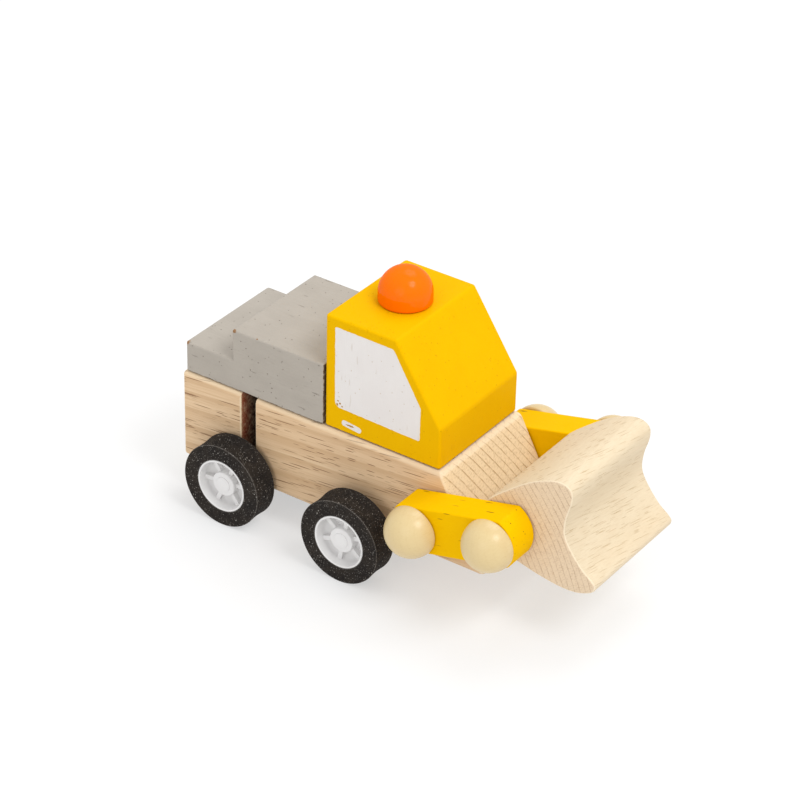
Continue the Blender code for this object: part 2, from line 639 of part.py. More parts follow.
COVER_Y = (-CASE_HALF_W, -CASE_HALF_W + CASE_WALL)
CASE_Y = (COVER_Y[1] + GAP, CASE_HALF_W)

bm = bmesh.new()
prism(bm, WITH_EARS, *CASE_Y)
case = make_object("motor_case", bm, DARK_PLASTIC)
bm = bmesh.new()
prism(bm, INNER_OUTLINE, CASE_Y[0] - 1, CASE_Y[1] - CASE_WALL)
cut(case, make_cutter("cutter_motor_cavity", bm))

bm = bmesh.new()
prism(bm, SHELL_OUTLINE, *COVER_Y)
cover = make_object("motor_cover", bm, DARK_PLASTIC)

bm = bmesh.new()
for (x, z), radius in ((AXLE, AXLE_R + 0.35), (IDLER, STUB_HOLE_R), (DRUM, STUB_HOLE_R)):
    turned(bm, [(0, -CASE_HALF_W - 2), (radius, -CASE_HALF_W - 2), (radius, CASE_HALF_W + 2),
                (0, CASE_HALF_W + 2)], 14, centre=(x, 0, z))
shaft_holes = make_cutter("cutter_shaft_holes", bm)
cut(case, shaft_holes)
cut(cover, shaft_holes)

bm = bmesh.new()
for x in MOTOR_SCREWS_X:
    turned(bm, [(0, PLATE_BOTTOM - 1), (SCREW_HOLE_R, PLATE_BOTTOM - 1),
                (SCREW_HOLE_R, PLATE_TOP + 1), (0, PLATE_TOP + 1)], 12, axis="Z",
           centre=(at_x(x), 0, 0))
cut(case, make_cutter("cutter_ear_holes", bm))


def union_prisms(name, layers, centre, material):
    """Moulded gear: coaxial layers, each an outline or a radius between two heights."""
    base = None
    for index, (shape, low, high) in enumerate(layers):
        bm = bmesh.new()
        if isinstance(shape, list):
            prism(bm, shape, low, high)
        else:
            turned(bm, [(0, low), (shape, low), (shape, high), (0, high)], 16)
        if base is None:
            base = make_object(name, bm, material, location=(centre[0], 0, centre[1]), smooth=0)
        else:
            piece = make_cutter("cutter_%s_%d" % (name, index), bm,
                                location=(centre[0], 0, centre[1]))
            combine(base, piece, "UNION")
    return base


STUB_END = CASE_HALF_W - 0.2
# Each gear is turned so that a tooth of one faces a gap of the next on their centre line
axle_phase = IDLER_DIRECTION / 360 * PINION_TEETH
idler_phase = (IDLER_DIRECTION + 180) / 360 * IDLER_TEETH + 0.5
idler_pinion_phase = DRUM_DIRECTION / 360 * PINION_TEETH
drum_phase = (DRUM_DIRECTION + 180) / 360 * DRUM_TEETH + 0.5

pinion = union_prisms("axle_pinion", [(gear_outline(PINION_TEETH, axle_phase), *PINION_Y)],
                      AXLE, GEAR_PLASTIC)
bm = bmesh.new()
turned(bm, [(0, PINION_Y[0] - 1), (AXLE_BORE_R, PINION_Y[0] - 1),
            (AXLE_BORE_R, PINION_Y[1] + 1), (0, PINION_Y[1] + 1)], 14,
       centre=(AXLE[0], 0, AXLE[1]))
cut(pinion, make_cutter("cutter_pinion_bore", bm))

union_prisms("idler_gear", [(gear_outline(IDLER_TEETH, idler_phase), *IDLER_WHEEL_Y),
                            (gear_outline(PINION_TEETH, idler_pinion_phase), *IDLER_PINION_Y),
                            (STUB_R, -STUB_END, STUB_END)], IDLER, GEAR_PLASTIC)
union_prisms("drum_gear", [(gear_outline(DRUM_TEETH, drum_phase), *DRUM_WHEEL_Y),
                           (ARBOR_R, *ARBOR_Y),
                           (STUB_R, -STUB_END, STUB_END)], DRUM, GEAR_PLASTIC)

bm = bmesh.new()
inner, outer = spiral_strip()
prism(bm, inner + list(reversed(outer)), *SPRING_Y)
make_object("mainspring", bm, STEEL, location=(DRUM[0], 0, DRUM[1]))
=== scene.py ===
"""Looks for the toy bulldozer: turned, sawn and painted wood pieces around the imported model.

Lengths are in millimetres, scaled once by MM where a mesh or a material takes them. Distances
along X are measured from the chassis rear face.
"""

import json
import math

import bmesh
import bpy
from mathutils import Euler, Matrix, Vector, noise


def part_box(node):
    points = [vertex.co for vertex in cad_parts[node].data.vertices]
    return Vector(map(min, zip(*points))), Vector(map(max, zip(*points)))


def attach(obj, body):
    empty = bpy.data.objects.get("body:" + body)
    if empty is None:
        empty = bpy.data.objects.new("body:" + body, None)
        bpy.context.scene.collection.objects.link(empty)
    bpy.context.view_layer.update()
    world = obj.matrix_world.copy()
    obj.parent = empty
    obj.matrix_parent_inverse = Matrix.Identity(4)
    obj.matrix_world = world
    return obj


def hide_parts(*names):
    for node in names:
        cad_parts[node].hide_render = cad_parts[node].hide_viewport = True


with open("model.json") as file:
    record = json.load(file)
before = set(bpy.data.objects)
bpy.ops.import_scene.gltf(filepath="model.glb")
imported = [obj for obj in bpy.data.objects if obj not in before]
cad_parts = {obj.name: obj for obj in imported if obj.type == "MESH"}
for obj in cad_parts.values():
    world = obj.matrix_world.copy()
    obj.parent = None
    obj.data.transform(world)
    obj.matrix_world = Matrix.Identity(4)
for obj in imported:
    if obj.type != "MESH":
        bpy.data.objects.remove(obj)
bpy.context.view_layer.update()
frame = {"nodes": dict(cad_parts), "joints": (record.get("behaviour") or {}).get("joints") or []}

MM = 0.001

# ---------------------------------------------------------------- places, from the CAD
CHASSIS_LOW, CHASSIS_HIGH = (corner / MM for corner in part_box("chassis_block"))
ENGINE_LOW, ENGINE_HIGH = (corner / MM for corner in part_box("engine_block"))
CAB_LOW, CAB_HIGH = (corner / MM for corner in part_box("cab_block"))
BEACON_LOW, BEACON_HIGH = (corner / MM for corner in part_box("beacon"))
ARM_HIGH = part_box("lift_arm_left")[1] / MM
BLADE_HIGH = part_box("blade")[1] / MM
JOINTS = {joint["name"]: Vector(joint["pos_m"]) / MM for joint in frame["joints"]}
ARM_PIVOT = JOINTS["arms_lift"]
BLADE_PIVOT = JOINTS["blade_tilt"]
REAR_AXLE = JOINTS["rear_axle_spin"]
FRONT_AXLE = JOINTS["front_axle_spin"]
GLUE_LINE = 0.12           # how much of the CAD's gap the chassis top and the pegs take up
CHASSIS_TOP = CHASSIS_HIGH.z + GLUE_LINE
GLUE_FILM = 0.14           # what is left of that gap under the engine and the cab
BLOCK_BOTTOM = CHASSIS_TOP + GLUE_FILM
CAB_SETBACK = 0.42         # narrows the seam between the engine and the cab
CAB_REAR = CAB_LOW.x - CAB_SETBACK


def at_x(x):
    """X in the row frame of a distance from the chassis rear face."""
    return CHASSIS_LOW.x + x


# ---------------------------------------------------------------- mesh helpers
def prism(bm, outline, y_low, y_high):
    low = [bm.verts.new((x * MM, y_low * MM, z * MM)) for x, z in outline]
    high = [bm.verts.new((x * MM, y_high * MM, z * MM)) for x, z in outline]
    count = len(outline)
    bm.faces.new(low)
    bm.faces.new(list(reversed(high)))
    for i in range(count):
        j = (i + 1) % count
        bm.faces.new((low[j], low[i], high[i], high[j]))


def turned(bm, profile, segments, centre=(0.0, 0.0, 0.0), closed=False):
    """Turn (radius, height) pairs about Y; a closed profile makes a ring."""
    rings = []
    for radius, height in profile:
        points = [(0.0, 0.0)]
        if radius > 1e-6:
            angles = [2 * math.pi * i / segments - math.pi / 2 for i in range(segments)]
            points = [(radius * math.cos(a), radius * math.sin(a)) for a in angles]
        ring = [bm.verts.new([(p + c) * MM for p, c in zip((u, height, v), centre)])
                for u, v in points]
        rings.append(ring)
    pairs = list(zip(rings, rings[1:]))
    if closed:
        pairs.append((rings[-1], rings[0]))
    for lower, upper in pairs:
        for i in range(segments):
            j = (i + 1) % segments
            if len(lower) == 1 and len(upper) > 1:
                bm.faces.new((lower[0], upper[j], upper[i]))
            elif len(upper) == 1 and len(lower) > 1:
                bm.faces.new((upper[0], lower[i], lower[j]))
            elif len(lower) > 1:
                bm.faces.new((lower[i], lower[j], upper[j], upper[i]))


def arc(centre, radius, start, end, steps):
    """Points of an arc in the (radius, height) plane, angles in degrees."""
    points = []
    for i in range(steps + 1):
        a = math.radians(start + (end - start) * i / steps)
        points.append((centre[0] + radius * math.cos(a), centre[1] + radius * math.sin(a)))
    return points


def rounded_outline(points, radii, steps=6):
    """Outline with each corner turned into an arc of its own radius."""
    result = []
    count = len(points)
    for i, (corner, radius) in enumerate(zip(points, radii)):
        here = Vector(corner)
        back = (Vector(points[i - 1]) - here).normalized()
        ahead = (Vector(points[(i + 1) % count]) - here).normalized()
        half = back.angle(ahead) / 2
        reach = radius / math.tan(half)
        centre = here + (back + ahead).normalized() * (radius / math.sin(half))
        start, end = here + back * reach - centre, here + ahead * reach - centre
        turn = start.angle_signed(end)
        for step in range(steps + 1):
            a = -turn * step / steps
            result.append((centre.x + start.x * math.cos(a) - start.y * math.sin(a),
                           centre.y + start.x * math.sin(a) + start.y * math.cos(a)))
    return result


def smooth_loop(keys, steps):
    """Closed Catmull-Rom curve through the key points."""
    count = len(keys)
    points = []
    for i in range(count):
        p0, p1, p2, p3 = (Vector(keys[(i + k - 1) % count]) for k in range(4))
        for step in range(steps):
            t = step / steps
            point = 0.5 * ((2 * p1) + (p2 - p0) * t + (2 * p0 - 5 * p1 + 4 * p2 - p3) * t * t
                           + (3 * p1 - p0 - 3 * p2 + p3) * t * t * t)
            points.append((point.x, point.y))
    return points


def make_object(name, bm):
    bmesh.ops.recalc_face_normals(bm, faces=bm.faces[:])
    mesh = bpy.data.meshes.new(name)
    bm.to_mesh(mesh)
    bm.free()
    ob = bpy.data.objects.new(name, mesh)
    bpy.context.scene.collection.objects.link(ob)
    return ob


def freeze(ob):
    """Apply every modifier."""
    bpy.context.view_layer.update()
    graph = bpy.context.evaluated_depsgraph_get()
    mesh = bpy.data.meshes.new_from_object(ob.evaluated_get(graph), depsgraph=graph)
    ob.modifiers.clear()
    ob.data = mesh
    mesh.name = ob.name


def combine(ob, bm, operation="DIFFERENCE"):
    """Cut a closed mesh out of an object, or join one to it."""
    tool = make_object("tool", bm)
    boolean = ob.modifiers.new("Combine", "BOOLEAN")
    boolean.operation = operation
    boolean.solver = "EXACT"
    boolean.object = tool
    freeze(ob)
    bpy.data.objects.remove(tool, do_unlink=True)


def bevel(ob, width, segments=4, angle=30.0, weighted=False):
    modifier = ob.modifiers.new("Round", "BEVEL")
    modifier.width = width * MM
    modifier.segments = segments
    modifier.limit_method = "WEIGHT" if weighted else "ANGLE"
    modifier.angle_limit = math.radians(angle)
    freeze(ob)


def shade(ob, angle=32.0):
    """Smooth shading that keeps sharp edges sharp and large faces flat."""
    ob.data.shade_smooth()
    ob.data.set_sharp_from_angle(angle=math.radians(angle))
    modifier = ob.modifiers.new("Flat faces", "WEIGHTED_NORMAL")
    modifier.keep_sharp = True
    freeze(ob)


def settle(ob, place_at, yaw=0.0, pitch=0.0):
    """Turn the mesh about Y, then about Z, and move it to its place."""
    ob.data.transform(Matrix.Translation(Vector(place_at) * MM) @ Matrix.Rotation(yaw, 4, "Z")
                      @ Matrix.Rotation(pitch, 4, "Y"))


def hand_over(ob, body, slot, material, *nodes):
    """Give a piece its material and its body, and hide the CAD nodes it stands for; `slot` is not
    used.
    """
    ob.data.materials.clear()
    ob.data.materials.append(material)
    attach(ob, body)
    if nodes:
        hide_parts(*nodes)


# ---------------------------------------------------------------- material helpers
class Nodes:
    """Short forms for building a material's node tree."""

    def __init__(self, name):
        self.material = bpy.data.materials.new(name)
        self.material.use_nodes = True
        self.tree = self.material.node_tree
        self.shader = self.tree.nodes["Principled BSDF"]
        coordinates = self.tree.nodes.new("ShaderNodeTexCoord")
        self.position = coordinates.outputs["Object"]
        self.normal = coordinates.outputs["Normal"]
        self.mm = self.vector("MULTIPLY", self.position, (1 / MM, 1 / MM, 1 / MM))

    def link(self, value, socket):
        if isinstance(value, bpy.types.NodeSocket):
            self.tree.links.new(value, socket)
        elif value is not None:
            if isinstance(value, tuple) and len(value) == 3 and socket.type == "RGBA":
                value = (*value, 1.0)
            socket.default_value = value

    def math(self, operation, *values):
        node = self.tree.nodes.new("ShaderNodeMath")
        node.operation = operation
        for value, socket in zip(values, node.inputs):
            self.link(value, socket)
        return node.outputs[0]

    def product(self, first, *others):
        for other in others:
            first = self.math("MULTIPLY", first, other)
        return first

    def vector(self, operation, a, b=None):
        node = self.tree.nodes.new("ShaderNodeVectorMath")
        node.operation = operation
        self.link(a, node.inputs[0])
        self.link(b, node.inputs[1])
        number = operation in ("DOT_PRODUCT", "LENGTH")
        return node.outputs["Value" if number else "Vector"]

    def split(self, vector):
        node = self.tree.nodes.new("ShaderNodeSeparateXYZ")
        self.link(vector, node.inputs[0])
        return node.outputs

    def space(self, along=(1, 0, 0), ring=(0, 1, 0)):
        """Millimetres along the grain, round the growth rings and across them."""
        along = Vector(along).normalized()
        ring = Vector(ring)
        ring = (ring - along * ring.dot(along)).normalized()
        node = self.tree.nodes.new("ShaderNodeCombineXYZ")
        for axis, socket in zip((along, ring.cross(along), ring), node.inputs):
            self.link(self.vector("DOT_PRODUCT", self.mm, tuple(axis)), socket)
        return node.outputs[0]

    def steps(self, space, along, across, seed=0.0, deep=None):
        """Space counted in steps: along the grain, round the rings and deep through them."""
        scaled = self.vector("MULTIPLY", space, (1 / along, 1 / across, 1 / (deep or across)))
        return self.vector("ADD", scaled, (seed, 1.7 * seed, 2.3 * seed))

    def noise(self, vector, detail=3.0, roughness=0.55):
        node = self.tree.nodes.new("ShaderNodeTexNoise")
        self.link(vector, node.inputs["Vector"])
        self.link(1.0, node.inputs["Scale"])
        self.link(detail, node.inputs["Detail"])
        self.link(roughness, node.inputs["Roughness"])
        return node.outputs["Fac"]

    def dashes(self, vector, size=0.2):
        """Spindle marks, one in each cell of the vector's unit grid, of the given half size."""
        node = self.tree.nodes.new("ShaderNodeTexVoronoi")
        node.feature = "F1"
        self.link(vector, node.inputs["Vector"])
        self.link(1.0, node.inputs["Scale"])
        return self.ramp(node.outputs["Distance"], 0.65 * size, size, 1.0, 0.0)

    def ramp(self, value, low, high, start=0.0, end=1.0):
        """Smooth step from start at low to end at high."""
        node = self.tree.nodes.new("ShaderNodeMapRange")
        node.interpolation_type = "SMOOTHSTEP"
        node.clamp = True
        for number, name in ((low, "From Min"), (high, "From Max"),
                             (start, "To Min"), (end, "To Max")):
            node.inputs[name].default_value = number
        self.link(value, node.inputs["Value"])
        return node.outputs["Result"]

    def mix(self, factor, a, b):
        node = self.tree.nodes.new("ShaderNodeMix")
        node.data_type = "RGBA"
        self.link(factor, node.inputs["Factor"])
        colours = [socket for socket in node.inputs if socket.type == "RGBA"]
        self.link(a, colours[0])
        self.link(b, colours[1])
        return [socket for socket in node.outputs if socket.type == "RGBA"][0]

    def bump(self, height, distance):
        node = self.tree.nodes.new("ShaderNodeBump")
        node.inputs["Strength"].default_value = 1.0
        node.inputs["Distance"].default_value = distance * MM
        self.link(height, node.inputs["Height"])
        return node.outputs["Normal"]

    def spots(self, places):
        """Ragged patches, each given by its centre and half sizes."""
        ragged = self.noise(self.steps(self.mm, 0.5, 0.5), detail=4.0, roughness=0.65)
        mask = None
        for (x, y, z), sizes in places:
            offset = self.vector("SUBTRACT", self.mm, (at_x(x), y, z))
            reach = self.vector("LENGTH", self.vector("DIVIDE", offset, sizes))
            reach = self.math("ADD", reach, self.math("MULTIPLY", ragged, 1.6))
            spot = self.ramp(reach, 1.65, 1.85, 1.0, 0.0)
            mask = spot if mask is None else self.math("MAXIMUM", mask, spot)
        return mask

    def edges(self, radius):
        """One near the piece's edges, nought on its flats."""
        rounded = self.tree.nodes.new("ShaderNodeBevel")
        rounded.samples = 6
        rounded.inputs["Radius"].default_value = radius * MM
        geometry = self.tree.nodes.new("ShaderNodeNewGeometry")
        same = self.vector("DOT_PRODUCT", rounded.outputs["Normal"],
                           geometry.outputs["True Normal"])
        return self.ramp(same, 0.80, 0.97, 1.0, 0.0)

    def finish(self, colour=None, roughness=None, normal=None, **constants):
        self.link(colour, self.shader.inputs["Base Color"])
        self.link(roughness, self.shader.inputs["Roughness"])
        self.link(normal, self.shader.inputs["Normal"])
        for name, value in constants.items():
            self.shader.inputs[name.replace("_", " ")].default_value = value
        return self.material


# ---------------------------------------------------------------- bare wood
MARK_DEPTH = 3.5           # how far a ray mark runs across the rings


def wood(name, light, dark, mark, end_light, end_dark, along, ring, spacing, tighten=0.0,
         curve=0.0, ring_strength=0.35, line_strength=0.75, long_marks=(16.0, 0.5),
         short_marks=(5.0, 0.45), mark_strength=0.6, seed=0.0, roughness=0.6, specular=0.25,
         coat=0.0, edge_highlight=None, wear=None):
    """Beech: ring bands, fibres and dark ray marks on its sides, thin ring lines on its ends.

    The marks are given by their length and width. An edge highlight, painted on, is a colour, the
    range of turn from side to end grain that shows it, and its strength. The last argument paints
    over all of it.
    """
    n = Nodes(name)
    space = n.space(along, ring)
    around, across = n.split(space)[1:]
    drift = n.math("ADD", n.noise(n.steps(space, 150, 24, seed), detail=1.0),
                   n.product(n.noise(n.steps(space, 60, 3.5, seed), detail=2.0), 0.22))
    bowed = n.math("MULTIPLY_ADD", n.math("MULTIPLY", around, around), curve, across)
    turns = n.math("MULTIPLY", bowed, n.math("MULTIPLY_ADD", bowed, tighten, 1 / spacing))
    phase = n.math("FRACT", n.math("MULTIPLY_ADD", drift, 0.8, turns))
    late = n.product(n.ramp(phase, 0.35, 0.92), n.ramp(phase, 0.92, 1.0, 1.0, 0.0))
    line = n.product(n.ramp(phase, 0.74, 0.95), n.ramp(phase, 0.95, 1.0, 1.0, 0.0))

    tone = n.noise(n.steps(space, 70, 8, seed), detail=2.0)
    fibre = n.noise(n.steps(space, 16, 0.30, seed), detail=3.0, roughness=0.6)
    streak = n.noise(n.steps(space, 34, 0.9, seed + 4), detail=2.0)
    cluster = n.ramp(n.noise(n.steps(space, 22, 6, seed), detail=1.0), 0.36, 0.60, 0.15, 1.0)
    long_dashes = n.dashes(n.steps(space, *long_marks, seed, MARK_DEPTH), 0.25)
    short_dashes = n.dashes(n.steps(space, *short_marks, seed + 2, MARK_DEPTH), 0.23)
    marks = n.product(n.math("MAXIMUM", long_dashes, n.product(short_dashes, cluster)),
                      mark_strength)
    side = n.mix(n.product(late, ring_strength), light, dark)
    side = n.mix(n.ramp(tone, 0.35, 0.70, 0.0, 0.40), side, dark)
    side = n.mix(n.ramp(fibre, 0.42, 0.78, 0.0, 0.60), side, dark)
    thread = n.noise(n.steps(space, 9, 0.16, seed + 6), detail=2.0, roughness=0.6)
    side = n.mix(n.ramp(thread, 0.50, 0.74, 0.0, 0.50), side, dark)
    side = n.mix(n.ramp(streak, 0.56, 0.76, 0.0, 0.35), side, end_light)
    side = n.mix(marks, side, mark)

    # Ring lines of uneven strength, and rows of fine rays and vessels between them
    speckle = n.noise(n.vector("MULTIPLY", space, (0.2, 1 / 0.28, 1 / 0.75)), detail=2.0,
                      roughness=0.7)
    uneven = n.ramp(n.noise(n.steps(space, 40, 1.6, seed + 1), detail=1.0), 0.3, 0.7, 0.35, 1.0)
    end = n.mix(n.product(line, uneven, line_strength), end_light, end_dark)
    end = n.mix(n.ramp(speckle, 0.46, 0.72, 0.0, 0.42), end, end_dark)
    end_on = n.math("ABSOLUTE", n.vector("DOT_PRODUCT", n.normal,
                                         tuple(Vector(along).normalized())))
    colour = n.mix(n.ramp(end_on, 0.36, 0.62), side, end)
    # Painted highlight on the rounding where the side grain turns into end grain
    if edge_highlight:
        highlight_colour, low, high, strength = edge_highlight
        highlight_band = n.product(n.ramp(end_on, low, low + 0.2),
                            n.ramp(end_on, high, high + 0.13, 1.0, 0.0))
        colour = n.mix(n.product(highlight_band, strength), colour, highlight_colour)
    if wear:
        colour = wear(n, colour)
    height = n.math("SUBTRACT", n.product(fibre, 0.45), n.product(marks, 0.6))
    return n.finish(colour, n.ramp(fibre, 0.3, 0.8, roughness - 0.05, roughness + 0.10),
                    n.bump(height, 0.07), Coat_Weight=coat, Coat_Roughness=0.22,
                    Specular_IOR_Level=specular)


SLOT_X = (17.95, 22.25)
SLOT_INNER = 9.9
# Painted highlight colour for the chassis's upper roundings
PAINTED_EDGE_HIGHLIGHT = (0.82, 0.67, 0.47)
SCORCH_MOUTH = (0.27, 0.040, 0.009)
# Painted shade deep inside the slot
SLOT_DEPTH_SHADE = (0.018, 0.005, 0.003)


def chassis_wear(n, colour):
    """Painted highlight on the upper edges, and slot walls scorched reddish at the mouth, darkened
    inwards to nearly black as painted shade.
    """
    facing = n.split(n.normal)
    # Painted highlight: roundings that face up, but not forward, are painted paler
    rounded = n.product(n.ramp(facing[2], 0.20, 0.60), n.ramp(facing[0], 0.35, 0.60, 0.5, 0.0))
    colour = n.mix(rounded, colour, PAINTED_EDGE_HIGHLIGHT)
    x, y = n.split(n.mm)[:2]
    wander = n.product(n.math("SUBTRACT", n.noise(n.steps(n.mm, 1.5, 1.5)), 0.5), 0.6)
    along = n.math("ADD", x, wander)
    depth = n.math("ABSOLUTE", y)
    low, high = at_x(SLOT_X[0]), at_x(SLOT_X[1])
    inside = n.product(n.ramp(along, low - 0.35, low + 0.05),
                       n.ramp(along, high - 0.05, high + 0.35, 1.0, 0.0))
    below_face = n.ramp(depth, CHASSIS_HIGH.y - 0.65, CHASSIS_HIGH.y - 0.12, 1.0, 0.0)
    # Scorched reddish wall at the mouth, darkening inwards to nearly black as painted shade
    scorch_and_shade = n.mix(n.ramp(depth, SLOT_INNER + 1.5, CHASSIS_HIGH.y - 0.5), SLOT_DEPTH_SHADE,
                   SCORCH_MOUTH)
    streak = n.noise(n.steps(n.mm, 0.6, 0.6), detail=3.0)
    return n.mix(n.product(inside, below_face, n.ramp(streak, 0.30, 0.72, 1.0, 0.75)),
                 colour, scorch_and_shade)


# ---------------------------------------------------------------- painted wood
def paint(name, colour, worn, along=(1, 0, 0), roughness=0.55, specular=0.2, seed=0.0,
          pores=0.0, pore_cover=0.46, pinholes=0.0, under=(0.10, 0.05, 0.01), chips=None, spots=(),
          chip_colour=(0.36, 0.15, 0.04), coat=0.0, relief=0.06, foot=None, butt=None):
    """Paint on wood: fibres, pores, pinholes, worn edges, and painted shade in its joints.

    The shaded joints are the block's foot, at that height, and the face that butts, at that X and
    below the engine's top.
    """
    n = Nodes(name)
    space = n.space(along)
    mottle = n.noise(n.steps(space, 9, 5, seed), detail=3.0)
    fine = n.noise(n.steps(space, 0.9, 0.6, seed), detail=3.0)
    fibre = n.noise(n.steps(space, 11, 0.42, seed), detail=3.0)
    body = n.mix(n.ramp(mottle, 0.3, 0.75, 0.0, 0.45), colour, worn)
    body = n.mix(n.ramp(fibre, 0.45, 0.8, 0.0, 0.30), body, worn)
    body = n.mix(n.ramp(fine, 0.55, 0.8, 0.0, 0.20), body, worn)
    sparse = n.ramp(n.noise(n.steps(space, 9, 4, seed), detail=1.0), pore_cover,
                    pore_cover + 0.14)
    marks = n.product(n.dashes(n.steps(space, 9, 1.0, seed), 0.16), sparse)
    shown = n.mix(n.product(marks, pores), body, under)
    holes = n.dashes(n.steps(space, 1.6, 1.6, seed + 6), 0.105)
    shown = n.mix(n.product(holes, pinholes), shown, under)
    bites = n.noise(n.steps(space, 1.2, 1.2, seed), detail=4.0, roughness=0.62)
    if chips is not None:
        dots = n.dashes(n.steps(space, 1.1, 1.1, seed + 9), 0.15)
        bitten = n.math("MAXIMUM", n.ramp(bites, chips, chips + 0.03), n.product(dots, 0.8))
        shown = n.mix(n.product(n.edges(0.9), bitten), shown, chip_colour)
    if foot is not None:
        x, _, z = n.split(n.mm)
        above = n.math("MULTIPLY_ADD", bites, -0.9, n.math("SUBTRACT", z, foot))
        apart = n.math("MULTIPLY_ADD", bites, -0.52,
                       n.math("ABSOLUTE", n.math("SUBTRACT", x, butt)))
        apart = n.math("MAXIMUM", apart, n.math("SUBTRACT", z, ENGINE_HIGH.z))
        # Painted shade in the seams at the block's foot and along its butting face, in the pore
        # colour
        shown = n.mix(n.ramp(n.math("MINIMUM", above, apart), -0.26, -0.14, 0.95, 0.0),
                      shown, under)
    if spots:
        shown = n.mix(n.spots(spots), shown, chip_colour)
    height = n.math("ADD", n.product(fibre, 0.5), n.product(fine, 0.6))
    height = n.math("SUBTRACT", height, n.math("MAXIMUM", marks, holes))
    return n.finish(shown, n.ramp(fine, 0.3, 0.8, roughness - 0.04, roughness + 0.08),
                    n.bump(height, relief), Coat_Weight=coat, Coat_Roughness=0.16,
                    Specular_IOR_Level=specular)


# ---------------------------------------------------------------- foam, plastic and steel
def foam():
    """Black foam rubber: fine pits and pale specks on the cut faces."""
    n = Nodes("foam_rubber")
    pits = n.noise(n.steps(n.mm, 0.42, 0.42), detail=2.0, roughness=0.6)
    cloud = n.noise(n.steps(n.mm, 4.0, 4.0), detail=3.0)
    base = n.mix(n.ramp(cloud, 0.35, 0.7), (0.013, 0.011, 0.010), (0.025, 0.020, 0.016))
    grit = n.noise(n.steps(n.mm, 0.16, 0.16, 1.0), detail=1.0)
    base = n.mix(n.ramp(grit, 0.50, 0.72, 0.0, 0.42), base, (0.080, 0.068, 0.058))
    specks = n.math("MAXIMUM", n.product(n.dashes(n.steps(n.mm, 0.46, 0.46), 0.25), 0.55),
                    n.product(n.dashes(n.steps(n.mm, 1.1, 1.1, 3.0), 0.15), 0.9))
    patches = n.ramp(n.noise(n.steps(n.mm, 0.9, 0.9, 5.0), detail=1.0), 0.36, 0.62, 0.15, 1.0)
    colour = n.mix(n.product(specks, patches), base, (0.40, 0.375, 0.34))
    # Painted highlight: the skin is painted paler where the face turns into the tread
    across = n.math("ABSOLUTE", n.split(n.normal)[1])
    edge = n.product(n.ramp(across, 0.10, 0.45), n.ramp(across, 0.80, 0.97, 1.0, 0.0))
    colour = n.mix(n.product(edge, n.ramp(grit, 0.38, 0.62, 0.10, 0.9)), colour,
                   (0.15, 0.135, 0.12))
    return n.finish(colour, 0.9, n.bump(pits, 0.16), Specular_IOR_Level=0.12)


def moulded(name, colour, worn, roughness, scale=1.1):
    """Moulded plastic with a faint texture."""
    n = Nodes(name)
    grain = n.noise(n.steps(n.mm, scale, scale), detail=3.0)
    cloud = n.noise(n.steps(n.mm, 8.0, 8.0), detail=2.0)
    body = n.mix(n.ramp(cloud, 0.3, 0.75), colour, worn)
    return n.finish(body, n.ramp(grain, 0.3, 0.8, roughness - 0.05, roughness + 0.06),
                    n.bump(grain, 0.02))


def steel():
    """Drawn steel with fine lines."""
    n = Nodes("bright_steel")
    brushed = n.noise(n.steps(n.mm, 1.1, 16.0), detail=3.0)
    body = n.mix(brushed, (0.50, 0.50, 0.52), (0.62, 0.62, 0.64))
    return n.finish(body, n.ramp(brushed, 0.3, 0.8, 0.24, 0.38), n.bump(brushed, 0.01),
                    Metallic=1.0)


ARM_ANGLE = math.atan2(BLADE_PIVOT.z - ARM_PIVOT.z, BLADE_PIVOT.x - ARM_PIVOT.x)
ARM_GRAIN = (math.cos(ARM_ANGLE), 0.0, math.sin(ARM_ANGLE))
CHASSIS_GRAIN_RISE = math.radians(4.5)
CHASSIS_GRAIN = (math.cos(CHASSIS_GRAIN_RISE), 0.0, math.sin(CHASSIS_GRAIN_RISE))
PRINT_Y = -16.66           # face of the right-hand prints, for the marks on them

BEECH = wood("beech_block", (0.74, 0.535, 0.335), (0.54, 0.345, 0.185), (0.22, 0.095, 0.035),
             end_light=(0.775, 0.61, 0.39), end_dark=(0.39, 0.235, 0.10), along=CHASSIS_GRAIN,
             ring=(0.0, 0.952, 0.306), spacing=2.46, tighten=0.00276, curve=0.004,
             line_strength=0.95, ring_strength=0.60,
             long_marks=(16.0, 0.44), short_marks=(6.5, 0.50), mark_strength=0.90,
             edge_highlight=((0.82, 0.70, 0.52), 0.12, 0.70, 0.5), wear=chassis_wear)
BLADE_WOOD = wood("beech_blade", (0.72, 0.605, 0.43), (0.64, 0.51, 0.34), (0.40, 0.25, 0.09),
                  end_light=(0.75, 0.595, 0.42), end_dark=(0.43, 0.28, 0.165),
                  along=(0.0, 1.0, -0.2), ring=(0.80, 0.0, 0.61), spacing=1.6, curve=0.006,
                  ring_strength=0.22, line_strength=0.8, long_marks=(10.0, 0.26),
                  short_marks=(5.5, 0.27), mark_strength=0.50, seed=7.0,
                  edge_highlight=((0.80, 0.68, 0.50), 0.25, 0.82, 0.8))
PEG_WOOD = wood("peg_wood_turned", (0.665, 0.51, 0.26), (0.62, 0.455, 0.215), (0.54, 0.38, 0.17),
                end_light=(0.665, 0.515, 0.265), end_dark=(0.62, 0.465, 0.23),
                along=(0.0, 1.0, 0.0), ring=(0.95, 0.0, 0.3), spacing=1.6, ring_strength=0.2,
                line_strength=0.3, mark_strength=0.1, seed=3.0, roughness=0.42, coat=0.42)
